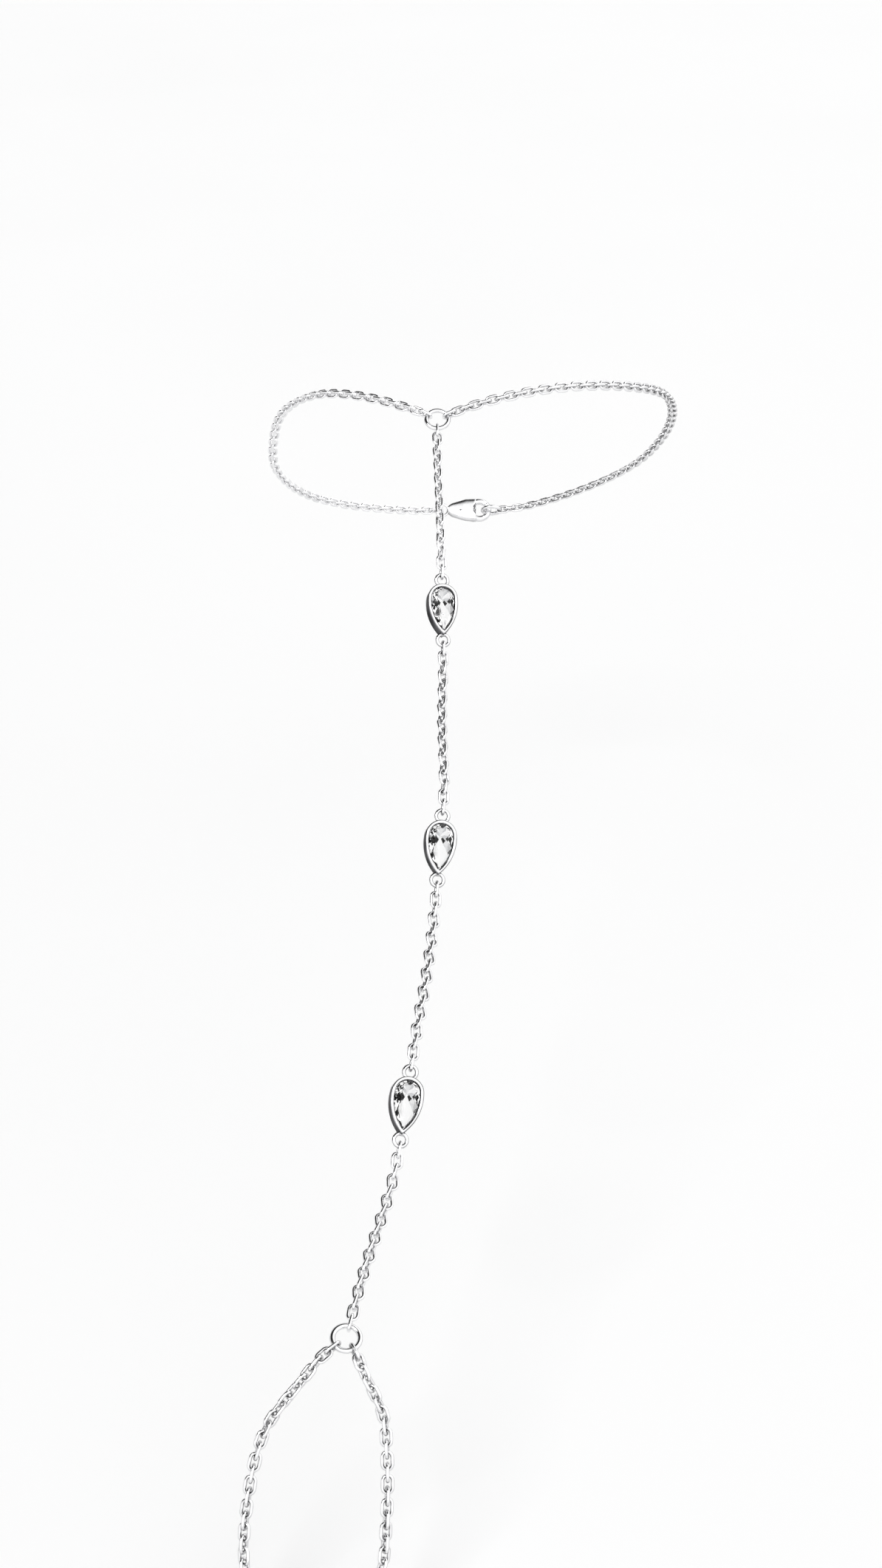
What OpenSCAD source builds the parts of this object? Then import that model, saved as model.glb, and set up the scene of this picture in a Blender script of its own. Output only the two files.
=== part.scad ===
// Foot chain, worn: an anklet, a chain down the foot with three pear-cut stones, and a toe loop.
// Millimetres. X to the wearer's outer side, Y towards the heel, Z up. The origin is the middle of
// the ankle loop. Every link, ring, setting and stone is a piece of its own; nothing moves by itself.

/* [Chain] */
// Wire of the links
wire = 0.39; // [0.3:0.01:0.6]
// Width of a link over its wire
link_w = 1.5; // [1.2:0.05:2.5]
// Length of a link over its wire
link_l = 2.3; // [1.8:0.02:4]
// Links in each of the four chains down the foot
foot_links = 19; // [15:2:21]
// Links made one by one on each side of the anklet's front
front_links = 44; // [20:2:48]
// Thickness of the plain runs that stand for the chain behind the ankle
run_d = 1.4; // [1:0.1:2]

/* [Rings] */
// Outer diameter of the ankle ring, toe ring and clasp ring
ring_d = 3.7; // [3:0.1:6]
// Wire of the rings
ring_wire = 0.6; // [0.4:0.02:0.8]

/* [Settings] */
// Width of a setting at its round end
set_w = 4; // [3:0.1:8]
// Length of a setting without its loops
set_l = 7.1; // [5:0.1:12]
// Height of a setting's wall
set_h = 1.9; // [1.5:0.1:4]
// Thickness of the wall round the stone
wall = 0.44; // [0.3:0.02:0.6]
// Width of the seat below the stone, wall included
seat_w = 0.8; // [0.6:0.05:1.2]
// Outer diameter of the loops at both ends
loop_d = 2.05; // [1.8:0.05:3]
// Wire of the loops
loop_wire = 0.45; // [0.3:0.01:0.6]

/* [Stones] */
// Height of the crown above the girdle
crown = 0.62; // [0.3:0.02:1.2]
// Thickness of the girdle
girdle = 0.16; // [0.1:0.02:0.4]
// Depth of the pavilion below the girdle
pavilion = 1.2; // [0.8:0.05:3]
// Width of the table against the stone
table = 0.56; // [0.4:0.02:0.7]

/* [Clasp] */
// Outer diameter of the clasp's round head
head_d = 4.2; // [3:0.1:6]
// Thickness of the head's bow
head_wire = 1; // [0.6:0.1:1.5]
// Thickness of the clasp's body
clasp_t = 1.7; // [1:0.1:3]
// Outer diameter of the eye at its tail
eye_d = 2.6; // [2:0.1:4]

/* [Fit] */
// Play between two links that hang in each other
play = 0.22; // [0.1:0.01:0.25]
// Gap round a stone in its setting
stone_gap = 0.04; // [0.02:0.01:0.1]
// Lean of the leg from upright
leg_lean = 46; // [0:1:60]

/* [Hidden] */
$fn = 48;
silver = [0.86, 0.87, 0.88];
clear = [0.9, 0.94, 0.97, 0.6];

// Where each piece down the foot lies: x, y, z, slope down to the toes, turn and roll
SLOPE = 3; TURN = 4; ROLL = 5;
stops = [
    [ -5.6,  -35.0,  17.6, 32,   0,  0],
    [ -4.9, -60.65,   0.3, 48,    1, 11],
    [-5.25, -88.15, -20.1, 48, -4.5,  9],
    [ -9.4, -116.35, -39.3, 41,   -8, 10],
    [-15.7, -144.6, -49.7, 18,   0,  4]
];
// How each chain down the foot lies: its bow to the side in the middle, its twist, and how far
// its flat links lean to the side; those on edge lean less, to the other side
BOW = 0; TWIST = 1; LEAN = 2;
lies = [[0, -40, 10], [-0.42, -28, 14], [0.1, -8, 18], [-0.25, 18, 20]];
// Where the chains leave the rings, in degrees from straight down the foot, outer side positive
anklet_left_turn = -118;
anklet_right_turn = 117;
toe_up_turn = 168;
toe_left_turn = -50;
toe_right_turn = 32;

// The anklet in the leg's own axes: across, back and up the leg, from its middle
left_way = [
    [-10.5, -35.8, -10.4], [-15.7, -33.4, -7.8], [-21.9, -28.6, -4.9], [-26.4, -22.1, -3.0],
    [-29.3, -15.2, -1.9], [-31, -7, -2], [-31.5, 1, -2.6], [-30, 10, -1.8], [-26.5, 19, -0.3],
    [-20.5, 27, 1.6], [-13, 33.5, 3.6], [-8, 36.4, 4.6]
];
right_way = [
    [-0.1, -37.0, -10.7], [4.6, -37.3, -9.5], [9.8, -36.4, -8], [16.3, -33.5, -6],
    [23.2, -27.3, -3.2], [27.6, -20, -0.4], [30.2, -11, 2.2], [31.2, -2, 3.7], [30.3, 8, 4.6],
    [27, 18.5, 5.2], [21, 27, 5.4], [13.5, 33.5, 5.3], [8.5, 36.4, 5.2]
];
clasp_at = [0, 37, 5];

// The toe loop from its ring: across, forward and down
toe_way = [
    [-2.7, 2.1, 0.7], [-4.3, 3.5, 2.1], [-6.4, 5, 4], [-8.5, 6.8, 6.1], [-9.8, 8.7, 8.9],
    [-10.6, 11, 12.2], [-11.1, 13.6, 15.9], [-11, 15.8, 19.1], [-9.6, 18.3, 21.6],
    [-7.2, 19.5, 24.1], [-4, 20, 24.8], [0.2, 19, 23.9], [2.4, 17.6, 21.7], [4.1, 15.8, 19.2],
    [4.5, 13.4, 15.9], [4.7, 10.8, 12.2], [4.6, 8.2, 8.4], [4.3, 6.2, 5.7], [3.2, 5.1, 3.3],
    [1.9, 3.4, 1.5]
];
// The middle of the toe, across from its ring and below it
toe_mid = [-3.5, -8];

link_half = (link_l - wire) / 2;
link_arc = (link_w - wire) / 2;
ring_arc = (ring_d - ring_wire) / 2;
loop_arc = (loop_d - loop_wire) / 2;
head_arc = (head_d - head_wire) / 2;
eye_arc = (eye_d - loop_wire) / 2;
// From a ring's middle to the wire of the link that hangs in it
ring_reach = ring_arc - link_arc;
eye_reach = eye_arc - link_arc;
// From a setting's middle to its loop, and to the wire of the link in it
loop_out = set_l / 2 + loop_d / 2 - 0.42;
set_reach = loop_out + loop_arc - link_arc;
head_x = 1.6;
eye_x = -4.9;
// The clasp ring hangs round the head's bow
clasp_ring_x = head_x + head_arc + ring_arc - ring_wire / 2 - head_wire / 2 - play;

// The outline of a setting: a round end and two long arcs that meet in the point
round_r = set_w / 2;
point_y = set_l - round_r;
blend = -8;
arc_off = (point_y * point_y - round_r * round_r) / (2 * (round_r - point_y * sin(blend)));

function rx(a) = [[1, 0, 0], [0, cos(a), -sin(a)], [0, sin(a), cos(a)]];
function ry(a) = [[cos(a), 0, sin(a)], [0, 1, 0], [-sin(a), 0, cos(a)]];
function rz(a) = [[cos(a), -sin(a), 0], [sin(a), cos(a), 0], [0, 0, 1]];
function spot(q) = [q[0], q[1], q[2]];
function facing(q) = [q[3], q[4], q[5]];
function unit(v) = v / norm(v);
function pose(s) = rx(s[SLOPE]) * rz(s[TURN]) * ry(s[ROLL]);

// A row of a route holds a place and the way that a flat link there faces
function hook(s, turn, reach) = let (m = pose(s))
    concat(spot(s) + m * [sin(turn), -cos(turn), 0] * reach, m * [0, 0, 1]);
function leg_row(p) = concat(rx(-leg_lean) * p, unit(rx(-leg_lean) * [p[0], p[1], 0]));
function toe_row(p) = let (s = stops[4], v = [p[0], -p[1], -p[2]], q = rx(-s[SLOPE]) * v)
    concat(spot(s) + v, unit(rx(s[SLOPE]) * [q[0] - toe_mid[0], 0, q[2] - toe_mid[1]]));
function clasp_row(x) = concat(rx(-leg_lean) * (clasp_at + [x, 0, 0]), rx(-leg_lean) * [0, 1, 0]);

// A smooth curve through the rows, bowed to the side in its second span, and its length up to
// each point
function span(a, b) = norm(spot(b) - spot(a));
function slant(r, i) = let (n = len(r) - 1, a = r[max(i - 1, 0)], b = r[i], c = r[min(i + 1, n)],
        p = span(a, b), q = span(b, c))
    i == 0 ? (c - b) / q : i == n ? (b - a) / p : ((b - a) * q / p + (c - b) * p / q) / (p + q);
function curve(r, steps, bow) = concat([for (i = [0:len(r) - 2], k = [0:steps - 1])
    let (d = span(r[i], r[i + 1]), t = k / steps, u = 1 - t)
    r[i] * u * u * (1 + 2 * t) + r[i + 1] * t * t * (3 - 2 * t)
        + slant(r, i) * d * t * u * u - slant(r, i + 1) * d * t * t * u
        + [i == 1 ? bow * 16 * t * t * u * u : 0, 0, 0, 0, 0, 0]], [r[len(r) - 1]]);
function lengths(c) = [for (i = 0, s = 0; i < len(c); i = i + 1,
    s = s + (i < len(c) ? span(c[i - 1], c[i]) : 0)) s];
function tables(r, bow = 0) = let (c = curve(r, 10, bow), s = lengths(c))
    [for (k = [0:5]) [for (i = [0:len(c) - 1]) [s[i], c[i][k]]]];
function along(t, s) = [for (k = [0:5]) lookup(s, t[k])];
function full(t) = t[0][len(t[0]) - 1][0];

// The routes, each from wire to wire of its end links
function foot_route(k) = let (a = hook(stops[k], 0, k == 0 ? ring_reach : set_reach),
        b = k == 3 ? hook(stops[4], toe_up_turn, ring_reach) : hook(stops[k + 1], 180, set_reach),
        c = hook(stops[k], 0, (k == 0 ? ring_reach : set_reach) + 2),
        d = k == 3 ? hook(stops[4], toe_up_turn, ring_reach + 2)
            : hook(stops[k + 1], 180, set_reach + 2))
    tables([a, c, d, b], lies[k][BOW]);
left_route = tables(concat(
    [for (d = [0, 1.8]) hook(stops[0], anklet_left_turn, ring_reach + d)],
    [for (p = left_way) leg_row(p)], [clasp_row(eye_x - eye_reach)]));
right_route = tables(concat(
    [for (d = [0, 1.8]) hook(stops[0], anklet_right_turn, ring_reach + d)],
    [for (p = right_way) leg_row(p)], [clasp_row(clasp_ring_x + ring_reach)]));
toe_route = tables(concat(
    [for (d = [0, 1.2]) hook(stops[4], toe_left_turn, ring_reach + d)],
    [for (p = toe_way) toe_row(p)],
    [for (d = [1.2, 0]) hook(stops[4], toe_right_turn, ring_reach + d)]));

// The fewest links that hang on a route without strain: odd where both end links stand on edge
pitch = 2 * link_half - wire - play;
function count(t, odd) =
    2 * ceil(((full(t) - 2 * link_half) / pitch + 0.8 - odd) / 2) + odd;
left_n = count(left_route, 1);
right_n = count(right_route, 0);
toe_n = count(toe_route, 1);

module link() {
    straight = link_half - link_arc;
    for (s = [-1, 1]) {
        translate([s * straight, 0, 0]) rotate([0, 0, -90 * s])
            rotate_extrude(angle = 180) translate([link_arc, 0]) circle(d = wire);
        translate([0, s * link_arc, 0]) rotate([0, 90, 0])
            cylinder(d = wire, h = 2 * straight, center = true);
    }
}

// Links first to last of a chain of n on a route; even ones stand on edge. The chain turns to
// its twist, and its links to their lean, over the four links at each end.
module chain(t, n, first, last, twist = 8, lean = 0) {
    step = (full(t) - 2 * link_half) / (n - 1);
    for (i = [first:last]) {
        a = along(t, i * step);
        b = along(t, i * step + 2 * link_half);
        x = unit(spot(b) - spot(a));
        f = facing(a) + facing(b);
        z = unit(f - (f * x) * x);
        y = cross(z, x);
        share = min(1, i / 4, (n - 1 - i) / 4);
        s = y * cos(twist * share) + z * sin(twist * share);
        on_edge = i % 2 == 0;
        k = lean * share * (on_edge ? -0.4 : 1);
        p = x * cos(k) + s * sin(k);
        q = s * cos(k) - x * sin(k);
        v = on_edge ? cross(x, s) : q;
        w = cross(p, v);
        c = (spot(a) + spot(b)) / 2;
        multmatrix([for (j = [0:2]) [p[j], v[j], w[j], c[j]]]) link();
    }
}

// A plain run of a chain: an eight-sided tube from s0 to s1 of a route
module run(t, s0, s1) {
    sides = 8;
    rings = ceil((s1 - s0) / (2.5 * run_d));
    points = [for (i = [0:rings]) let (s = s0 + (s1 - s0) * i / rings, q = along(t, s),
            d = unit(spot(along(t, min(s + 0.5, s1))) - spot(along(t, max(s - 0.5, s0)))),
            u = unit(facing(q) - (facing(q) * d) * d), v = cross(d, u))
        for (k = [0:sides - 1]) spot(q) + (u * cos(360 * (k + 0.5) / sides)
            + v * sin(360 * (k + 0.5) / sides)) * run_d / 2];
    polyhedron(points, concat([[for (k = [0:sides - 1]) sides - 1 - k]],
        [for (i = [0:rings - 1], k = [0:sides - 1]) let (a = i * sides + k,
            b = i * sides + (k + 1) % sides) each [[a, b, b + sides], [a, b + sides, a + sides]]],
        [[for (k = [0:sides - 1]) rings * sides + k]]));
}

module ring(d, w) {
    rotate_extrude() translate([(d - w) / 2, 0]) circle(d = w);
}

module stand(s) {
    translate(spot(s)) rotate([s[SLOPE], 0, 0]) rotate([0, 0, s[TURN]]) rotate([0, s[ROLL], 0])
        children();
}

function reach(a, inset) = let (dc = -arc_off * (cos(blend) * abs(cos(a)) - sin(blend) * sin(a)),
        big = arc_off + round_r - inset)
    sin(a) >= -sin(blend) ? round_r - inset : dc + sqrt(dc * dc + big * big - arc_off * arc_off);
function edge(a, inset, scale = 1) = let (r = reach(a, inset) * scale) [r * cos(a), r * sin(a)];

module pear(inset) {
    translate([0, set_l / 2 - round_r])
        polygon([for (a = [-90:7.5:262.5]) edge(a, inset)]);
}

// Heights in a setting: its loops lie at 0, and the stone rests on the inner edge of the seat
base_z = -1.15;
stone_inset = wall + stone_gap;
stone_low = base_z + set_h - 0.45 - girdle;
seat_z = stone_low - stone_gap
    - pavilion * (seat_w - stone_inset) / (round_r - stone_inset);

// A wall with a seat for the stone, open at the back, and the two loops soldered to its ends
module setting() {
    difference() {
        union() {
            translate([0, 0, base_z]) linear_extrude(set_h) pear(0);
            for (s = [-1, 1]) translate([0, s * loop_out, 0]) ring(loop_d, loop_wire);
        }
        translate([0, 0, seat_z]) linear_extrude(set_h) pear(wall);
        translate([0, 0, base_z - 1]) linear_extrude(set_h + 2) pear(seat_w);
    }
}

// A pear brilliant: an eight-sided table, star, kite and girdle facets, and a pointed pavilion
module stone() {
    low = stone_low;
    top = low + girdle;
    function rim(a, z, scale) =
        concat(edge(a, stone_inset, scale) + [0, set_l / 2 - round_r], [z]);
    // Rows of eight or sixteen points: table, star, upper girdle, lower girdle, pavilion, culet
    points = concat(
        [for (k = [0:7]) rim(270 + 45 * k, top + crown, table)],
        [for (k = [0:7]) rim(292.5 + 45 * k, top + crown * 0.6, (1 + table) / 2 + 0.02)],
        [for (k = [0:15]) rim(270 + 22.5 * k, top, 1)],
        [for (k = [0:15]) rim(270 + 22.5 * k, low, 1)],
        [for (k = [0:7]) rim(292.5 + 45 * k, low - pavilion * 0.7, 0.32)],
        [rim(270, low - pavilion, 0)]);
    T = 0; S = 8; U = 16; L = 32; P = 48; C = 56;
    faces = concat(
        [[for (k = [0:7]) 7 - k]],
        [for (k = [0:7]) let (n = (k + 1) % 8, b = (k + 7) % 8, g = 2 * k) each [
            [T + k, T + n, S + k],
            [T + k, S + k, U + g], [T + k, U + g, S + b],
            [S + k, U + g + 1, U + g], [S + k, U + (g + 2) % 16, U + g + 1],
            [L + g, L + g + 1, P + k], [L + g + 1, L + (g + 2) % 16, P + k],
            [L + g, P + k, C], [L + g, C, P + b]]],
        [for (k = [0:15]) let (n = (k + 1) % 16) each [
            [U + k, U + n, L + n], [U + k, L + n, L + k]]]);
    polyhedron(points, faces);
}

module clasp() {
    rotate([-leg_lean, 0, 0]) translate(clasp_at) rotate([-90, 0, 0]) {
        difference() {
            translate([0, 0, -clasp_t / 2]) linear_extrude(clasp_t)
                polygon([[-3.9, -0.5], [-3.2, -1.1], [-0.8, -1.9], [1, -2], [1, 2], [-0.8, 1.9],
                    [-3.2, 1.1], [-3.9, 0.5]]);
            translate([head_x, 0, -5]) cylinder(r = head_arc - head_wire / 2 + 0.05, h = 10);
        }
        translate([head_x, 0, 0]) ring(head_d, head_wire);
        translate([eye_x, 0, 0]) ring(eye_d, loop_wire);
    }
}

module clasp_ring() {
    rotate([-leg_lean, 0, 0]) translate(clasp_at + [clasp_ring_x, 0, 0]) ring(ring_d, ring_wire);
}

module foot_chain(k) {
    color(silver) chain(foot_route(k), foot_links, 0, foot_links - 1, lies[k][TWIST],
        lies[k][LEAN]);
}

module back_run(t, n, end_wire) {
    step = (full(t) - 2 * link_half) / (n - 1);
    run(t, (front_links - 1) * step + 2 * link_half + wire / 2 + play,
        full(t) - link_arc - end_wire / 2 - play);
}

color(silver) stand(stops[0]) ring(ring_d, ring_wire);  // ankle_ring
color(silver) chain(left_route, left_n, 0, front_links - 1);  // anklet_left
color(silver) chain(right_route, right_n, 0, front_links - 1);  // anklet_right
color(silver) back_run(left_route, left_n, loop_wire);  // anklet_back_left
color(silver) back_run(right_route, right_n, ring_wire);  // anklet_back_right
color(silver) clasp();
color(silver) clasp_ring();
foot_chain(0);  // foot_chain_1
foot_chain(1);  // foot_chain_2
foot_chain(2);  // foot_chain_3
foot_chain(3);  // foot_chain_4
color(silver) stand(stops[1]) setting();  // setting_1
color(silver) stand(stops[2]) setting();  // setting_2
color(silver) stand(stops[3]) setting();  // setting_3
color(clear) stand(stops[1]) stone();  // stone_1
color(clear) stand(stops[2]) stone();  // stone_2
color(clear) stand(stops[3]) stone();  // stone_3
color(silver) stand(stops[4]) ring(ring_d, ring_wire);  // toe_ring
color(silver) chain(toe_route, toe_n, 0, (toe_n - 1) / 2);  // toe_chain_left
color(silver) chain(toe_route, toe_n, (toe_n + 1) / 2, toe_n - 1);  // toe_chain_right
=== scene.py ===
"""The foot chain as it lies on the foot, dressed for its picture.

Lengths are in millimetres, as in the part's source, until a mesh is made. X goes to the wearer's
outer side, Y towards the heel and Z up, and the origin is the middle of the ankle loop. The routes
of the chains are worked out as the source works them out, so every link made here lies where the
packed one does; behind the ankle links take the place of the two plain runs.
"""

import bpy
import numpy as np
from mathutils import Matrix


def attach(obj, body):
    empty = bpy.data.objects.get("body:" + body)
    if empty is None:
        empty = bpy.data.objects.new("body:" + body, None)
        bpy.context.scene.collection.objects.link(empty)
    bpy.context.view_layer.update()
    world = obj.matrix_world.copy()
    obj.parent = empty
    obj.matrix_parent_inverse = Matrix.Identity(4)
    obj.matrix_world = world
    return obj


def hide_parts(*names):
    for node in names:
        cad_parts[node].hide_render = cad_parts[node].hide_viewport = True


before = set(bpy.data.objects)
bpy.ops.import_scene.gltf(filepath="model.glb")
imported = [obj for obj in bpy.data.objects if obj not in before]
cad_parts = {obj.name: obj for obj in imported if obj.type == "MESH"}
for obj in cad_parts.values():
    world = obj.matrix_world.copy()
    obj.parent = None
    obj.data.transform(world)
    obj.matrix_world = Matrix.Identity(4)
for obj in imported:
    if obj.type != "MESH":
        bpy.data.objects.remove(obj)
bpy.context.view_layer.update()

# ---------------------------------------------------------------- camera
eye = bpy.data.cameras.new("photo_view")
eye.lens, eye.sensor_width, eye.clip_start = 50.0, 36.0, 0.01
camera = bpy.data.objects.new("photo_view", eye)
camera.location = (-0.0051, -0.3247, 0.1259)
camera.rotation_euler = (np.radians(60.0), 0.0, 0.0)
bpy.context.scene.collection.objects.link(camera)
bpy.context.scene.camera = camera

# ---------------------------------------------------------------- sizes, as in the part's source
WIRE, LINK_W, LINK_L, PLAY = 0.39, 1.5, 2.3, 0.22
FOOT_LINKS = 19
RING_D, RING_WIRE = 3.7, 0.6
SET_W, SET_L, SET_H, WALL, SEAT_W = 4.0, 7.1, 1.9, 0.44, 0.8
LOOP_D, LOOP_WIRE = 2.05, 0.45
CROWN, GIRDLE, PAVILION, TABLE, STONE_GAP = 0.62, 0.16, 1.2, 0.56, 0.04
HEAD_D, HEAD_WIRE, CLASP_T, EYE_D = 4.2, 1.0, 1.7, 2.6
LEG_LEAN = 46.0

# Where each piece down the foot lies: x, y, z, slope down to the toes, turn and roll
STOPS = np.array([
    [-5.6, -35.0, 17.6, 32.0, 0.0, 0.0],
    [-4.9, -60.65, 0.3, 48.0, 1.0, 11.0],
    [-5.25, -88.15, -20.1, 48.0, -4.5, 9.0],
    [-9.4, -116.35, -39.3, 41.0, -8.0, 10.0],
    [-15.7, -144.6, -49.7, 18.0, 0.0, 4.0],
])
# How each chain down the foot lies: its bow to the side in the middle, its twist, and how far its
# flat links lean to the side; those on edge lean less, to the other side
LIES = ((0.0, -40.0, 10.0), (-0.42, -28.0, 14.0), (0.1, -8.0, 18.0), (-0.25, 18.0, 20.0))
ANKLET_LEFT_TURN, ANKLET_RIGHT_TURN = -118.0, 117.0
TOE_UP_TURN, TOE_LEFT_TURN, TOE_RIGHT_TURN = 168.0, -50.0, 32.0
LEFT_WAY = np.array([
    [-10.5, -35.8, -10.4], [-15.7, -33.4, -7.8], [-21.9, -28.6, -4.9], [-26.4, -22.1, -3.0],
    [-29.3, -15.2, -1.9], [-31, -7, -2], [-31.5, 1, -2.6], [-30, 10, -1.8], [-26.5, 19, -0.3],
    [-20.5, 27, 1.6], [-13, 33.5, 3.6], [-8, 36.4, 4.6],
])
RIGHT_WAY = np.array([
    [-0.1, -37.0, -10.7], [4.6, -37.3, -9.5], [9.8, -36.4, -8], [16.3, -33.5, -6],
    [23.2, -27.3, -3.2], [27.6, -20, -0.4], [30.2, -11, 2.2], [31.2, -2, 3.7], [30.3, 8, 4.6],
    [27, 18.5, 5.2], [21, 27, 5.4], [13.5, 33.5, 5.3], [8.5, 36.4, 5.2],
])
TOE_WAY = np.array([
    [-2.7, 2.1, 0.7], [-4.3, 3.5, 2.1], [-6.4, 5, 4], [-8.5, 6.8, 6.1], [-9.8, 8.7, 8.9],
    [-10.6, 11, 12.2], [-11.1, 13.6, 15.9], [-11, 15.8, 19.1], [-9.6, 18.3, 21.6],
    [-7.2, 19.5, 24.1], [-4, 20, 24.8], [0.2, 19, 23.9], [2.4, 17.6, 21.7], [4.1, 15.8, 19.2],
    [4.5, 13.4, 15.9], [4.7, 10.8, 12.2], [4.6, 8.2, 8.4], [4.3, 6.2, 5.7], [3.2, 5.1, 3.3],
    [1.9, 3.4, 1.5],
])
TOE_MID = (-3.5, -8.0)
CLASP_AT = np.array([0.0, 37.0, 5.0])

# Worked out from those. A half is to the wire's middle, an arc is the radius of a middle line, and a
# reach is how far a link that hangs in a ring lies from the ring's middle
LINK_HALF, LINK_ARC = (LINK_L - WIRE) / 2, (LINK_W - WIRE) / 2
RING_ARC, LOOP_ARC = (RING_D - RING_WIRE) / 2, (LOOP_D - LOOP_WIRE) / 2
HEAD_ARC, EYE_ARC = (HEAD_D - HEAD_WIRE) / 2, (EYE_D - LOOP_WIRE) / 2
RING_REACH, EYE_REACH = RING_ARC - LINK_ARC, EYE_ARC - LINK_ARC
LOOP_OUT = SET_L / 2 + LOOP_D / 2 - 0.42
SET_REACH = LOOP_OUT + LOOP_ARC - LINK_ARC
HEAD_X, EYE_X, TAIL_X = 1.6, -4.9, -3.9
CLASP_RING_X = HEAD_X + HEAD_ARC + RING_ARC - RING_WIRE / 2 - HEAD_WIRE / 2 - PLAY
# The setting's pear, from its base up: a round end, and two long arcs that meet in the point
BASE_Z = -1.15
TOP_Z = BASE_Z + SET_H
ROUND_R = SET_W / 2
POINT_Y = SET_L - ROUND_R
BLEND = np.radians(-8.0)
ARC_OFF = (POINT_Y**2 - ROUND_R**2) / (2 * (ROUND_R - POINT_Y * np.sin(BLEND)))
STONE_INSET = WALL + STONE_GAP
STONE_LOW = TOP_Z - 0.45 - GIRDLE
SEAT_Z = STONE_LOW - STONE_GAP - PAVILION * (SEAT_W - STONE_INSET) / (ROUND_R - STONE_INSET)


# ---------------------------------------------------------------- routes of the chains
def turned(axis, degrees):
    """The matrix of a turn about X, Y or Z (0, 1 or 2): cosine and sine in the two other axes."""
    m, (i, j) = np.eye(3), ((1, 2), (2, 0), (0, 1))[axis]
    m[i, i] = m[j, j] = np.cos(np.radians(degrees))
    m[j, i] = np.sin(np.radians(degrees))
    m[i, j] = -m[j, i]
    return m


def unit(v):
    """Vectors divided by their lengths, along the last axis."""
    return v / np.linalg.norm(v, axis=-1, keepdims=True)


LEG = turned(0, -LEG_LEAN)


def stand(stop):
    """A stop's matrix: its roll about Y, then its turn about Z, then its slope about X."""
    return turned(0, stop[3]) @ turned(2, stop[4]) @ turned(1, stop[5])


def hook(stop, turn, reach):
    """A route's row where a link hangs in a ring: the ring's middle, moved by reach in the ring's
    plane at that turn from straight down the foot, and the ring's own axis as the facing."""
    m, t = stand(stop), np.radians(turn)
    return np.r_[stop[:3] + m @ [reach * np.sin(t), -reach * np.cos(t), 0], m @ [0, 0, 1]]


def leg_rows(way):
    """Rows in the leg's axes: the points leaned with the leg, facing straight out from its axis."""
    return np.c_[way @ LEG.T, unit(np.c_[way[:, :2], 0 * way[:, 0]]) @ LEG.T]


def toe_rows(way):
    """Rows of the toe loop: the points below the toe ring, facing away from the toe's axis."""
    stop, v = STOPS[4], way * [1, -1, -1]
    q = v @ turned(0, -stop[3]).T
    out = np.c_[q[:, 0] - TOE_MID[0], 0 * q[:, 0], q[:, 2] - TOE_MID[1]]
    return np.c_[stop[:3] + v, unit(out @ turned(0, stop[3]).T)]


def clasp_row(x):
    """The row where a chain ends at the clasp, x from the clasp's middle."""
    return np.r_[LEG @ (CLASP_AT + [x, 0, 0]), LEG @ [0, 1, 0]]


def route(rows, steps=10, bow=0.0):
    """Length and place along a smooth curve through the rows. Between two rows it is the cubic that
    has their slants at its ends, and a slant is the mean of the two spans' slopes, each weighted
    with the other span's length. The second span is bowed to the side by 16 bow t^2 (1 - t)^2."""
    rows = np.array(rows)
    d = np.linalg.norm(np.diff(rows[:, :3], axis=0), axis=1)[:, None]
    slope = np.diff(rows, axis=0) / d
    slant = np.vstack([slope[:1], (slope[:-1] * d[1:] + slope[1:] * d[:-1]) / (d[:-1] + d[1:]),
                       slope[-1:]])
    t = (np.arange(steps) / steps)[None, :, None]
    u = 1 - t
    a, b, sa, sb, d = rows[:-1, None], rows[1:, None], slant[:-1, None], slant[1:, None], d[:, None]
    c = a * u * u * (1 + 2 * t) + b * t * t * (3 - 2 * t) + sa * d * t * u * u - sb * d * t * t * u
    c[1, :, 0] += bow * 16 * (t * u)[0, :, 0] ** 2
    c = np.vstack([c.reshape(-1, 6), rows[-1:]])
    return np.r_[0, np.cumsum(np.linalg.norm(np.diff(c[:, :3], axis=0), axis=1))], c


def links_on(way, count, twist=8.0, lean=0.0):
    """Middles and axes of the links on a route: each spans its own length of the curve, even links
    stand on edge and odd ones lie flat. The chain turns to its twist, and its links to their
    lean, over the four links at each end."""
    s, c = way
    i = np.arange(count)
    at = i * (s[-1] - 2 * LINK_HALF) / (count - 1)
    a, b = (np.stack([np.interp(q, s, c[:, k]) for k in range(6)], 1) for q in (at, at + 2 * LINK_HALF))
    x = unit(b[:, :3] - a[:, :3])
    f = a[:, 3:] + b[:, 3:]
    z = unit(f - (f * x).sum(1, keepdims=True) * x)
    y = np.cross(z, x)
    share = np.radians(np.clip(np.minimum(i, count - 1 - i) / 4, 0, 1))[:, None]
    side = y * np.cos(twist * share) + z * np.sin(twist * share)
    on_edge = i[:, None] % 2 == 0
    k = lean * share * np.where(on_edge, -0.4, 1)
    p = x * np.cos(k) + side * np.sin(k)
    v = np.where(on_edge, np.cross(x, side), side * np.cos(k) - x * np.sin(k))
    return (a[:, :3] + b[:, :3]) / 2, p, v, np.cross(p, v)


def links_needed(way, odd):
    """The fewest links that hang on a route without strain, odd or even as asked."""
    pitch = 2 * LINK_HALF - WIRE - PLAY
    return int(2 * np.ceil(((way[0][-1] - 2 * LINK_HALF) / pitch + 0.8 - odd) / 2) + odd)


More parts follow.
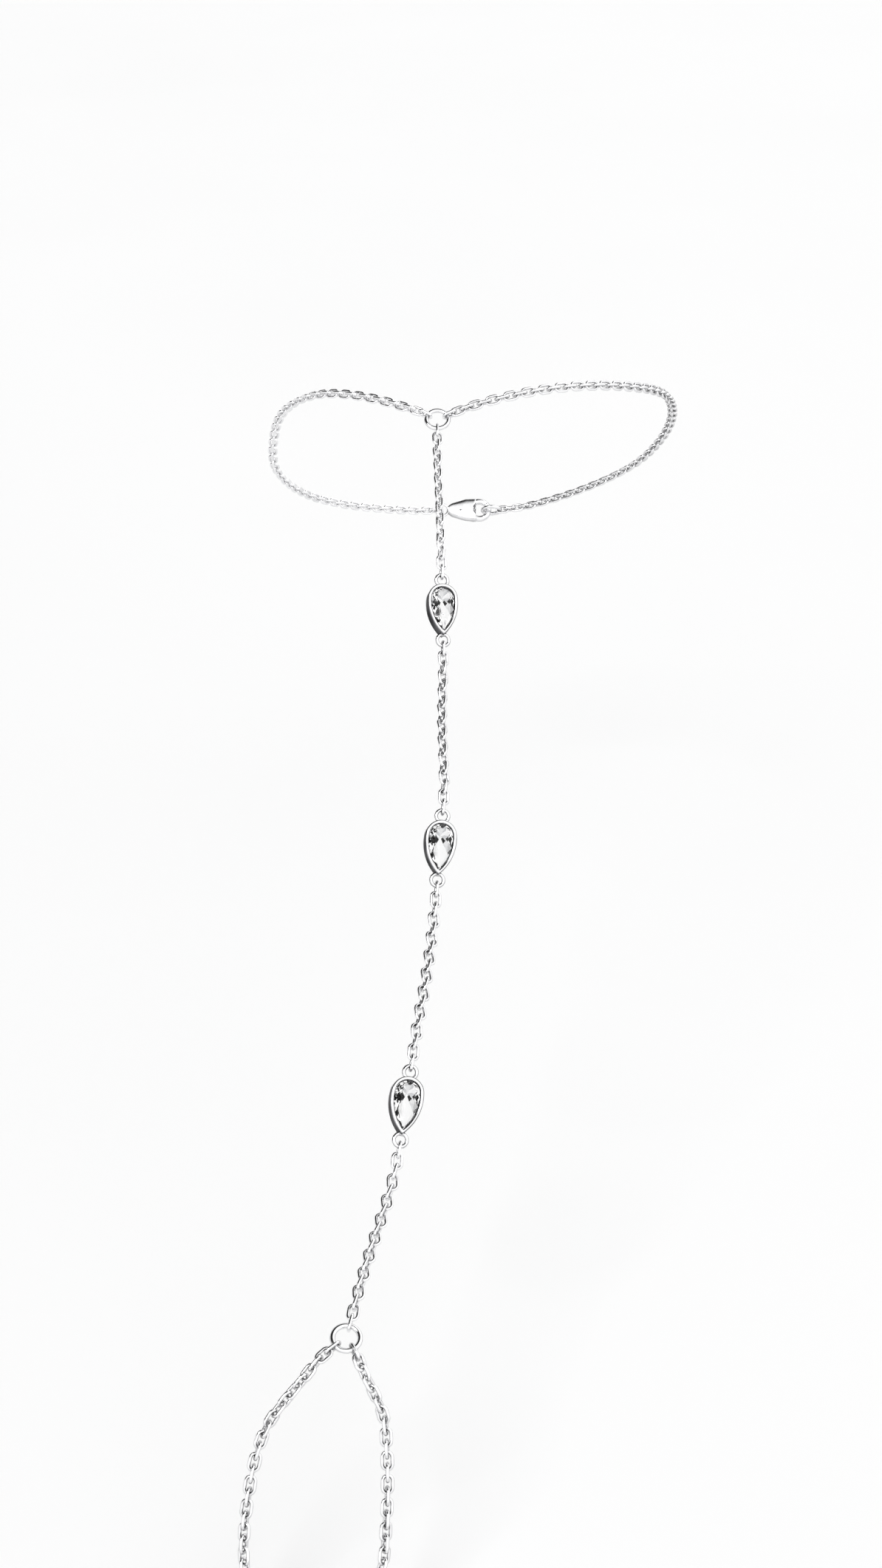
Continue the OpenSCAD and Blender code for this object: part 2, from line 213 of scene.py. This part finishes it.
def foot_route(k):
    """One of the four stretches down the foot, straight out of each end for two millimetres."""
    near = RING_REACH if k == 0 else SET_REACH
    turn, far = (TOE_UP_TURN, RING_REACH) if k == 3 else (180.0, SET_REACH)
    return route([hook(STOPS[k], 0, near), hook(STOPS[k], 0, near + 2),
                  hook(STOPS[k + 1], turn, far + 2), hook(STOPS[k + 1], turn, far)], bow=LIES[k][0])


left_route = route(np.vstack([
    [hook(STOPS[0], ANKLET_LEFT_TURN, RING_REACH + d) for d in (0, 1.8)],
    leg_rows(LEFT_WAY), [clasp_row(EYE_X - EYE_REACH)]]))
right_route = route(np.vstack([
    [hook(STOPS[0], ANKLET_RIGHT_TURN, RING_REACH + d) for d in (0, 1.8)],
    leg_rows(RIGHT_WAY), [clasp_row(CLASP_RING_X + RING_REACH)]]))
toe_route = route(np.vstack([
    [hook(STOPS[4], TOE_LEFT_TURN, RING_REACH + d) for d in (0, 1.2)],
    toe_rows(TOE_WAY),
    [hook(STOPS[4], TOE_RIGHT_TURN, RING_REACH + d) for d in (1.2, 0)]]))


# ---------------------------------------------------------------- meshes
def quads(rows, sides, closed=(True, True)):
    """The faces of a grid of points: each joins a point to the next along both directions, and a
    closed direction comes back to its start."""
    i, j = np.meshgrid(np.arange(rows - (not closed[0])), np.arange(sides - (not closed[1])),
                       indexing="ij")
    k, m = (i + 1) % rows, (j + 1) % sides
    return np.stack([i * sides + j, k * sides + j, k * sides + m, i * sides + m], -1).reshape(-1, 4)


def through(points, axis):
    """Control points whose subdivided surface passes through the given ones, round a closed
    direction: there a surface point is four sixths of its control point and a sixth of each of the
    two beside it, so the weights are solved for."""
    n = points.shape[axis]
    weights = (4 * np.eye(n) + np.roll(np.eye(n), 1, 0) + np.roll(np.eye(n), -1, 0)) / 6
    moved = np.moveaxis(points, axis, 0)
    solved = np.linalg.solve(weights, moved.reshape(n, -1)).reshape(moved.shape)
    return np.moveaxis(solved, 0, axis)


def placed(points, m, at):
    """Points carried from a piece's own axes: turned by the matrix, then moved to the place."""
    return points @ np.asarray(m).T + at


class Body:
    """Parts of one piece, gathered before its mesh is made."""

    def __init__(self):
        self.points, self.faces, self.shades, self.first = [], [], {}, 0

    def add(self, points, faces, **shades):
        """A part: its points, its faces as rows of point numbers, and a value of each shade."""
        points = np.asarray(points, float).reshape(-1, 3)
        self.points.append(points)
        self.faces.append(np.asarray(faces) + self.first)
        for name, value in shades.items():
            self.shades.setdefault(name, []).append(
                (self.first, np.broadcast_to(np.asarray(value, float), (len(points),))))
        self.first += len(points)
        return self

    def grid(self, points, closed=(True, True), **shades):
        """A part from a grid of points, rows by sides. Where the rows don't come back to their
        start, the first and the last each get a face over them."""
        (rows, sides), first = points.shape[:2], self.first
        self.add(points, quads(rows, sides, closed), **shades)
        if not closed[0]:
            ring = np.arange(sides)
            self.faces.append(first + np.stack([ring, (rows - 1) * sides + ring[::-1]]))
        return self

    def piece(self, name, finish, smooth=True, levels=0, slot="silver", stands_for=()):
        """The finished piece: one mesh in metres, with its finish, riding on the part."""
        points = np.vstack(self.points) / 1000.0
        sizes = np.concatenate([np.full(len(f), f.shape[1]) for f in self.faces])
        corners = np.concatenate([f.ravel() for f in self.faces])
        mesh = bpy.data.meshes.new(name)
        mesh.vertices.add(len(points))
        mesh.vertices.foreach_set("co", points.ravel())
        mesh.loops.add(len(corners))
        mesh.loops.foreach_set("vertex_index", corners.astype(np.int32))
        mesh.polygons.add(len(sizes))
        mesh.polygons.foreach_set("loop_start", np.r_[0, np.cumsum(sizes)[:-1]].astype(np.int32))
        mesh.polygons.foreach_set("use_smooth", np.full(len(sizes), smooth))
        mesh.update(calc_edges=True)
        mesh.validate()
        for shade, runs in self.shades.items():
            values = np.zeros(len(points), np.float32)
            for first, run in runs:
                values[first:first + len(run)] = run
            mesh.attributes.new(shade, "FLOAT", "POINT").data.foreach_set("value", values)
        mesh.materials.append(finish)
        piece = bpy.data.objects.new(name, mesh)
        bpy.context.scene.collection.objects.link(piece)
        if levels:
            rounding = piece.modifiers.new("rounding", "SUBSURF")
            rounding.levels = rounding.render_levels = levels
        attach(piece, "root")
        if stands_for:
            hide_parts(*stands_for)
        return piece


def link_form():
    """A link's control grid, 16 places along its wire by 6 round it. The middle line is two half
    circles joined by two straights; round it goes the wire's circle. With it comes a painted shade
    that is 1 inside the ends, where the other links sit, 0.4 inside the straights and 0 outside."""
    a = np.radians(np.r_[np.arange(-90, 91, 30), 90, np.arange(90, 271, 30), 270])[:, None]
    shift = (LINK_HALF - LINK_ARC) * np.r_[np.ones(7), 0, -np.ones(7), 0][:, None]
    b = np.radians(60.0 * np.arange(6))[None]
    r = LINK_ARC + WIRE / 2 * np.cos(b)
    grid = np.stack([r * np.cos(a) + shift, r * np.sin(a), WIRE / 2 * np.sin(b) + 0 * a], -1)
    return through(through(grid, 0), 1), np.clip(-np.cos(b), 0, 1) * (0.4 + 0.6 * np.cos(a) ** 2)


def links(middle, x, y, z):
    """Every link of a chain: the link's form turned into each link's axes. The shade "link" gives
    each its own number between 0 and 1, from the golden ratio."""
    form, inside = link_form()
    points = (middle[:, None, None] + form[None, ..., :1] * x[:, None, None]
              + form[None, ..., 1:2] * y[:, None, None] + form[None, ..., 2:] * z[:, None, None])
    number = np.arange(len(middle))
    faces = quads(*form.shape[:2])[None] + inside.size * number[:, None, None]
    return Body().add(points, faces.reshape(-1, 4), link=np.repeat(0.618034 * number % 1, inside.size),
                      inside=np.tile(inside.ravel(), len(middle)))


def torus(diameter, wire, around=72, sides=16):
    """A ring: a circle of the wire carried round the ring's middle circle."""
    a = np.linspace(0, 2 * np.pi, around, endpoint=False)[:, None]
    b = np.linspace(0, 2 * np.pi, sides, endpoint=False)[None]
    r = (diameter - wire) / 2 + wire / 2 * np.cos(b)
    return np.stack([r * np.cos(a), r * np.sin(a), wire / 2 * np.sin(b) + 0 * a], -1)


def pellet(size, rows=12, sides=20):
    """A rounded drop: an ellipsoid with those three half lengths, from 1 degree off each pole."""
    a = np.linspace(-1, 1, rows)[:, None] * np.radians(89.0)
    b = np.linspace(0, 2 * np.pi, sides, endpoint=False)[None]
    return np.stack([np.sin(a) + 0 * b, np.cos(a) * np.sin(b), np.cos(a) * np.cos(b)], -1) * size


def reach(a, inset):
    """How far the pear that lies inset within a setting's outer wall goes from the middle of its
    round end, in the direction a. That is the round end's radius, and from 8 degrees above the
    middle it is the far side of one of two long arcs, which meet in the point."""
    dc = -ARC_OFF * (np.cos(BLEND) * np.abs(np.cos(a)) - np.sin(BLEND) * np.sin(a))
    arc = dc + np.sqrt(np.maximum(dc**2 + (ARC_OFF + ROUND_R - inset)**2 - ARC_OFF**2, 0))
    return np.where(np.sin(a) >= -np.sin(BLEND), ROUND_R - inset, arc)


def outline(inset):
    """The line of such a pear, seen from above. Averaging along the line rounds the point."""
    a = np.radians(np.arange(-90, 270, 0.5))
    line = np.stack([reach(a, inset) * np.cos(a), reach(a, inset) * np.sin(a)], 1)
    line = sum(np.roll(line, k, 0) for k in range(-2, 3)) / 5
    keep = np.unique(np.r_[np.arange(0, 60, 3), np.arange(60, 660, 6), np.arange(660, 720, 3)])
    return line[keep] + [0, SET_L / 2 - ROUND_R]


def setting(stop):
    """A setting: a wall's profile carried round the pear, each of its corners a pear at its own
    inset and height, with two loops and the solder that holds them. A stored shade is 1 on the
    burnished top round the stone and falls to 0 where the setting is painted dark as painted shade:
    the outer wall, a thin line round its outer edge and the inner wall just above the stone. The
    loops are painted darker on their inner and outer sides, and the solder a little."""
    e, r = 0.07, 0.015    # the wall's rounded edges, and the small one at the seat
    profile = np.array([  # inset, height, and the stored shade: 1 bright, 0 painted shade
        [e, BASE_Z, 0], [0.02, BASE_Z + 0.02, 0], [0, BASE_Z + e, 0], [0, BASE_Z + 0.5, 0],
        [0, TOP_Z - 0.34, 0], [0.005, TOP_Z - 0.22, 0], [0.02, TOP_Z - 0.12, 0],
        [0.055, TOP_Z - 0.045, 0], [0.11, TOP_Z - 0.008, 0.4], [0.18, TOP_Z, 1],
        [0.26, TOP_Z - 0.01, 1], [0.35, TOP_Z - 0.04, 0.9], [WALL - 0.02, TOP_Z - 0.1, 0.2],
        [WALL, TOP_Z - 0.2, 0], [WALL, STONE_LOW + 0.12, 0], [WALL, STONE_LOW - 0.05, 1],
        [WALL, SEAT_Z + 0.06, 1], [WALL, SEAT_Z + r, 1], [WALL + r, SEAT_Z, 1],
        [SEAT_W - e, SEAT_Z, 1], [SEAT_W - 0.02, SEAT_Z - 0.02, 1], [SEAT_W, SEAT_Z - e, 1],
        [SEAT_W, BASE_Z + e, 1], [SEAT_W - 0.02, BASE_Z + 0.02, 1], [SEAT_W - e, BASE_Z, 1]])
    wall = np.stack([np.c_[outline(inset), np.full(len(outline(inset)), z)]
                     for inset, z, _ in profile], 1)
    # The loops' inner and outer sides are painted darker, as painted shade
    painted_side_shade = 1 - 0.8 * np.cos(np.linspace(0, 2 * np.pi, 12, endpoint=False)) ** 2
    m, body = stand(stop), Body()
    body.grid(placed(wall, m, stop[:3]), rim=np.tile(profile[:, 2], len(wall)))
    for s in (-1, 1):
        at = placed(np.array([0, s * LOOP_OUT, 0]), m, stop[:3])
        body.grid(placed(torus(LOOP_D, LOOP_WIRE, 56, 12), m, at), rim=np.tile(painted_side_shade, 56))
        solder = placed(np.array([0, s * (SET_L / 2 - 0.02), 0]), m, stop[:3])
        body.grid(placed(pellet([0.6, 0.13, 0.26]), m, solder), closed=(False, True), rim=0.6)
    return body


def cut_pear(stop):
    """A pear brilliant: rows of points round the pear at a share of its size, for the table, the
    stars, the girdle's two edges, the pavilion's breaks and the culet, joined by triangles. The
    shades "across" and "along" are its places in its own plane. "back" is 0 on the crown, and each
    face below the girdle has its own step of it from 0.3 to 1; the finish paints each step as a
    grey of its own, as painted reflections."""
    def row(first, count, z, scale):
        a = np.radians(first + 360.0 / count * np.arange(count))
        r = reach(a, STONE_INSET) * scale
        return np.stack([r * np.cos(a), r * np.sin(a) + SET_L / 2 - ROUND_R, z + 0 * a], 1)

    top = STONE_LOW + GIRDLE
    points = np.vstack([
        row(270, 8, top + CROWN, TABLE), row(292.5, 8, top + CROWN * 0.6, (1 + TABLE) / 2 + 0.02),
        row(270, 16, top, 1), row(270, 16, STONE_LOW, 1),
        row(292.5, 8, STONE_LOW - PAVILION * 0.7, 0.32), row(270, 1, STONE_LOW - PAVILION, 0)])
    # The first point of the table, the stars, the girdle's edges and the breaks, then the culet
    t, s, u, low, p, tip = 0, 8, 16, 32, 48, np.full(8, 56)
    k = np.arange(8)
    n, b, g, h = (k + 1) % 8, (k + 7) % 8, 2 * k, (2 * k + 2) % 16
    j = np.arange(16)
    crown = [(t + k, t + n, s + k), (t + k, s + k, u + g), (t + k, u + g, s + b),
             (s + k, u + g + 1, u + g), (s + k, u + h, u + g + 1),
             (t + 0 * k[1:7], t + k[2:], t + k[1:7]),
             (u + j, u + (j + 1) % 16, low + (j + 1) % 16), (u + j, low + (j + 1) % 16, low + j)]
    pavilion = [(low + g, low + g + 1, p + k), (low + g + 1, low + h, p + k),
                (low + g, p + k, tip), (low + g, tip, p + b)]
    faces = [np.stack(f, 1)[:, ::-1] for f in crown + pavilion]
    # Each pavilion face's step of painted reflection grey
    greys = [5 * k % 8, (3 * k + 4) % 8, 3 * k % 8, 3 * k % 8]
    back = np.r_[np.zeros(sum(map(len, faces[:len(crown)]))), 0.3 + 0.1 * np.hstack(greys)]
    return Body().add(placed(points, stand(stop), stop[:3]), np.vstack(faces),
                      across=points[:, 0], along=points[:, 1]), back


def clasp_form():
    """The clasp. Its body is lofted from the tail to the round hole of the head: a squarish oval
    section, |y/w|^4 + |z/t|^4 = 1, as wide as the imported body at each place, that flattens out at
    both ends. The head and the eye are rings; the head's wire is a little thinner at the two seams
    of its gate, and a pivot and a thumb piece stand on the body."""
    u = np.r_[0, 0, 0.004, 0.015, np.linspace(0.04, 0.96, 24), 0.985, 0.996, 1, 1][:, None]
    flat = np.r_[0.02, 0.8, 0.93, 0.98, np.ones(24), 0.98, 0.93, 0.8, 0.02][:, None]
    v = np.radians(np.arange(3.75, 360, 7.5))[None]
    half = np.interp(TAIL_X + 4.9 * u, [TAIL_X, -3.2, -0.8, 1.0], [0.5, 1.1, 1.9, 2.0])
    y = half * np.sign(np.cos(v)) * np.abs(np.cos(v)) ** 0.5
    z = CLASP_T / 2 * flat * np.sign(np.sin(v)) * np.abs(np.sin(v)) ** 0.5
    hole = HEAD_ARC - HEAD_WIRE / 2 + 0.05
    end = HEAD_X - np.sqrt(np.maximum(hole**2 - y**2, (HEAD_X - 1) ** 2))
    m, at, body = LEG @ turned(0, -90), LEG @ CLASP_AT, Body()
    body.grid(placed(np.stack([TAIL_X + u * (end - TAIL_X), y, z + 0 * y], -1), m, at)[:, ::-1],
              closed=(False, True))
    a = np.linspace(0, 360, 216, endpoint=False)[:, None]
    seam = sum(np.exp(-((a - degrees) / 1.6) ** 2) for degrees in (62, 318))
    b = np.radians(np.arange(0, 360, 20))[None]
    wire = HEAD_WIRE / 2 * (1 - 0.12 * seam)
    r = HEAD_ARC + wire * np.cos(b)
    head = np.stack([r * np.cos(np.radians(a)) + HEAD_X, r * np.sin(np.radians(a)),
                     wire * np.sin(b)], -1)
    body.grid(placed(head, m, at))
    body.grid(placed(torus(EYE_D, LOOP_WIRE, 56, 12) + [EYE_X, 0, 0], m, at))
    for size, place in (((0.34, 0.34, 0.07), (-1.6, 0.5, 0.85)), ((0.62, 0.24, 0.2), (0.55, 1.75, 0.5)),
                        ((0.34, 0.34, 0.07), (-1.6, 0.5, -0.85))):
        body.grid(placed(pellet(size) + place, m, at), closed=(False, True))
    return body


# ---------------------------------------------------------------- finishes
class Amount:
    """A number that varies over a surface. Its operators add Math nodes."""

    def __init__(self, finish, socket):
        self.finish, self.socket = finish, socket

    def maths(self, operation, *values, **settings):
        made = self.finish.node("ShaderNodeMath", {"operation": operation, **settings},
                                dict(enumerate(values)))
        return Amount(self.finish, made.outputs[0])

    def __add__(self, other): return self.maths("ADD", self, other)
    def __radd__(self, other): return self.maths("ADD", other, self)
    def __sub__(self, other): return self.maths("SUBTRACT", self, other)
    def __rsub__(self, other): return self.maths("SUBTRACT", other, self)
    def __mul__(self, other): return self.maths("MULTIPLY", self, other)
    def __rmul__(self, other): return self.maths("MULTIPLY", other, self)
    def __truediv__(self, other): return self.maths("DIVIDE", self, other)
    def size(self): return self.maths("ABSOLUTE", self)
    def clamped(self): return self.maths("ADD", self, 0.0, use_clamp=True)


class Finish:
    """A material: its shader, and the one method that adds every other node."""

    def __init__(self, name, **fixed):
        self.material = bpy.data.materials.new(name)
        self.material.use_nodes = True
        self.tree = self.material.node_tree
        self.shader = next(n for n in self.tree.nodes if n.type == "BSDF_PRINCIPLED")
        for socket, value in fixed.items():
            self.shader.inputs[socket.replace("_", " ")].default_value = value

    def node(self, kind, settings=None, sockets=None):
        """A node of that kind: its settings first, then the value or link of each socket."""
        made = self.tree.nodes.new(kind)
        for name, value in (settings or {}).items():
            setattr(made, name, value)
        for name, value in (sockets or {}).items():
            self.put(made.inputs[name], value)
        return made

    def put(self, socket, value):
        """A value or a link into a socket."""
        value = value.socket if isinstance(value, Amount) else value
        if isinstance(value, bpy.types.NodeSocket):
            self.tree.links.new(value, socket)
        else:
            socket.default_value = value

    def set(self, name, value):
        self.put(self.shader.inputs[name], value)

    def noise(self, scale, detail=2.0):
        """Noise over the piece, in its own axes; scale is in spots to the metre."""
        where = self.node("ShaderNodeTexCoord").outputs["Object"]
        made = self.node("ShaderNodeTexNoise", None,
                         {"Vector": where, "Scale": scale, "Detail": detail, "Roughness": 0.55})
        return Amount(self, made.outputs["Fac"])

    def shade(self, name):
        """A shade that was stored with the mesh."""
        return Amount(self, self.node("ShaderNodeAttribute", {"attribute_name": name}).outputs["Fac"])

    def blend(self, factor, a, b):
        """Colour a where the factor is 0 and b where it is 1."""
        made = self.node("ShaderNodeMix", {"data_type": "RGBA"}, {0: factor, 6: a, 7: b})
        return made.outputs[2]

    def bump(self, height, depth):
        """Relief from a height between 0 and 1, depth in metres."""
        made = self.node("ShaderNodeBump", None, {"Height": height, "Distance": depth, "Strength": 1.0})
        self.set("Normal", made.outputs["Normal"])


WHITE, GREYED = (0.9, 0.9, 0.91, 1), (0.72, 0.72, 0.73, 1)
# The three colours below are painted shade: the black and the smoky grey on the setting's walls, the
# last one inside the links
WALL_SHADE_BLACK, WALL_SHADE_GREY, LINK_SHADE_GREY = (0.02, 0.02, 0.021, 1), (0.3, 0.3, 0.31, 1), (0.1, 0.1, 0.103, 1)


def polished(name, rough, spread, tool=9000.0, depth=2e-6, part=None, edge=0.25, inside_shade=1.1):
    """Bright rhodium-white silver. Its colour goes a little towards grey in soft clouds about a
    millimetre across, its roughness rises in the same clouds, and fine polishing marks lie in its
    relief; edge is the tint of its reflection where it turns away, and below 1 it darkens those
    edges as painted shade. With part "link" each link has its own brightness, and the inside of
    each link is painted darker as painted shade, by the given amount; with the setting's part the
    wall is painted dark as painted shade, in clouds of its own, where the stored shade is low."""
    f = Finish(name, Metallic=1.0, Specular_Tint=(edge, edge, edge, 1.0))
    cloud = (f.noise(900.0, 3.0) * 1.8 - 0.4).clamped()
    marks = f.noise(tool, 2.0)
    tone = shine = cloud
    if part == "link":
        own = f.shade("link")
        tone = (cloud * 0.6 + own * 0.4).clamped()
        shine = (cloud * 0.5 + own * 0.5).clamped()
    bright = f.blend(tone, WHITE, GREYED)
    if part == "link":
        # Painted shade inside each link, where the links meet
        bright = f.blend((f.shade("inside") * inside_shade).clamped(), bright, LINK_SHADE_GREY)
    # Painted shade on the setting: its walls, outer edge and loops go dark where the stored shade is
    # low
    if part == "rim":
        rim = f.shade("rim")
        shine = (cloud * 0.5 + 0.5 * (1 - rim)).clamped()
        spots = (f.noise(350.0, 1.0) * 3.0 - 1.0).clamped()
        bright = f.blend(rim, f.blend(spots, WALL_SHADE_BLACK, WALL_SHADE_GREY), bright)
    f.set("Base Color", bright)
    f.set("Roughness", shine * spread + rough)
    f.bump(marks * 0.7 + cloud * 0.3, depth)
    return f.material


# Lit and shaded copies of the wire's silver: the chain is painted darkest, inside its links and at
# their edges, in the middle stretches of the foot and palest on the ankle's inner side
wire_silver = polished("silver_wire", 0.09, 0.12, part="link")
less_shaded_silver = polished("silver_wire_less_shade", 0.09, 0.12, part="link", edge=0.8, inside_shade=0.6)
pale_silver = polished("silver_wire_pale", 0.09, 0.12, part="link", edge=1.0, inside_shade=0.25)
half_silver = polished("silver_wire_half", 0.09, 0.12, part="link", edge=0.5, inside_shade=0.9)
ring_silver = polished("silver_ring", 0.07, 0.1)
wall_silver = polished("silver_setting", 0.06, 0.16, part="rim")
cast_silver = polished("silver_clasp", 0.1, 0.14, tool=5000.0, depth=4e-6)

# The stones' painted dark reflections, as spots: place across and along the stone, and size
PAINTED_DARK_SPOTS = ((-0.85, 1.9, 0.3), (-0.6, 1.1, 0.42), (0.3, 1.0, 0.32), (1.0, 1.25, 0.28), (0.0, -2.9, 0.3))


def cut_stone():
    """Clear cut stone with painted reflections. Each face below the girdle is painted with its own
    grey, and the greyer ones are painted black, and made metallic, in a few spots on both sides of
    the culet, where a cut shows dark reflections. A spot is a diamond in the stone's own plane,
    |x| + 0.8 |y| from its middle: full inside its size, and gone a third further out."""
    f = Finish("clear_stone", Transmission_Weight=1.0, IOR=1.4, Roughness=0.0)
    x, y, dark = f.shade("across"), f.shade("along"), 0.0
    for middle_x, middle_y, size in PAINTED_DARK_SPOTS:
        away = (x - middle_x).size() + (y - middle_y).size() * 0.8
        dark = dark + ((1.33 * size - away) / (0.33 * size)).clamped()
    grey = ((f.shade("back") - 0.3) * 1.4).clamped()
    dark = (dark * ((grey - 0.2) * 12.0).clamped()).clamped()
    # Painted reflections: a grey for each face below the girdle, black in the spots
    clear = f.blend(grey, (1.0, 1.0, 1.0, 1), (0.32, 0.33, 0.35, 1))
    f.set("Base Color", f.blend(dark, clear, (0.0, 0.0, 0.0, 1)))
    f.set("Metallic", dark)
    return f.material


stone_glass = cut_stone()

# ---------------------------------------------------------------- pieces
for k in range(4):
    links(*links_on(foot_route(k), FOOT_LINKS, *LIES[k][1:])).piece(
        f"foot_links_{k + 1}", less_shaded_silver if k in (0, 3) else wire_silver, levels=1,
        stands_for=[f"foot_chain_{k + 1}"])
links(*links_on(left_route, links_needed(left_route, 1))).piece(
    "anklet_links_left", pale_silver, levels=1, stands_for=["anklet_left", "anklet_back_left"])
links(*links_on(right_route, links_needed(right_route, 0))).piece(
    "anklet_links_right", half_silver, levels=1, stands_for=["anklet_right", "anklet_back_right"])
links(*links_on(toe_route, links_needed(toe_route, 1))).piece(
    "toe_links", wire_silver, levels=1, stands_for=["toe_chain_left", "toe_chain_right"])

for name, m, at in (
        ("ankle_ring", stand(STOPS[0]), STOPS[0][:3]),
        ("toe_ring", stand(STOPS[4]), STOPS[4][:3]),
        ("clasp_ring", LEG, LEG @ (CLASP_AT + [CLASP_RING_X, 0, 0]))):
    Body().grid(placed(torus(RING_D, RING_WIRE), m, at)).piece(
        name + "_round", ring_silver, stands_for=[name])

for k in (1, 2, 3):
    setting(STOPS[k]).piece(f"setting_wall_{k}", wall_silver, stands_for=[f"setting_{k}"])
    body, back = cut_pear(STOPS[k])
    gem = body.piece(f"cut_stone_{k}", stone_glass, smooth=False, slot="stone",
                     stands_for=[f"stone_{k}"])
    gem.data.attributes.new("back", "FLOAT", "FACE").data.foreach_set("value", back)

clasp_form().piece("clasp_cast", cast_silver, stands_for=["clasp"])

# ---------------------------------------------------------------- floor and light
FLOOR_Z, FLOOR_HALF = -0.0762, 4.0
floor_mesh = bpy.data.meshes.new("floor")
floor_mesh.from_pydata([(x * FLOOR_HALF, y * FLOOR_HALF, FLOOR_Z)
                        for x, y in ((-1, -1), (1, -1), (1, 1), (-1, 1))], [], [(0, 1, 2, 3)])
floor = bpy.data.objects.new("floor", floor_mesh)
bpy.context.scene.collection.objects.link(floor)
paper = Finish("pale_floor", Roughness=0.8)
paper.set("Base Color", paper.blend(paper.noise(6.0, 2.0), (0.93, 0.93, 0.93, 1), (0.9, 0.9, 0.9, 1)))
floor_mesh.materials.append(paper.material)


def soft_key(name, comes_from, angle, strength):
    """A soft light from one direction, as from a large distant screen: it lights the floor evenly."""
    data = bpy.data.lights.new(name, "SUN")
    data.angle, data.energy = np.radians(angle), strength
    light = bpy.data.objects.new(name, data)
    x, y, z = unit(np.array(comes_from))
    light.rotation_euler = (np.arccos(z), 0, np.arctan2(y, x) + np.pi / 2)
    bpy.context.scene.collection.objects.link(light)


soft_key("key_light", (-0.55, -0.47, 0.98), 26.0, 0.88)

# A white studio with one dark screen, high on the left and a little behind. It draws the dark lines
# along the wires. The brightness falls from white to nearly black towards the screen's direction.
SCREEN_TOWARDS, STUDIO_STRENGTH = (-0.6, 0.3, 0.74), 1.4
world = bpy.data.worlds.new("studio")
bpy.context.scene.world = world
world.use_nodes = True
sky = world.node_tree
background = next(n for n in sky.nodes if n.type == "BACKGROUND")
where = sky.nodes.new("ShaderNodeTexCoord")
nearness = sky.nodes.new("ShaderNodeVectorMath")
nearness.operation = "DOT_PRODUCT"
nearness.inputs[1].default_value = SCREEN_TOWARDS
ramp = sky.nodes.new("ShaderNodeValToRGB")
ramp.color_ramp.interpolation = "EASE"
for stop, position, level in zip(ramp.color_ramp.elements, (0.55, 0.8), (1.0, 0.02)):
    stop.position, stop.color = position, (level, level, level, 1)
sky.links.new(where.outputs["Generated"], nearness.inputs[0])
sky.links.new(nearness.outputs["Value"], ramp.inputs[0])
sky.links.new(ramp.outputs[0], background.inputs[0])
background.inputs[1].default_value = STUDIO_STRENGTH

bpy.context.scene.view_settings.view_transform = "Standard"
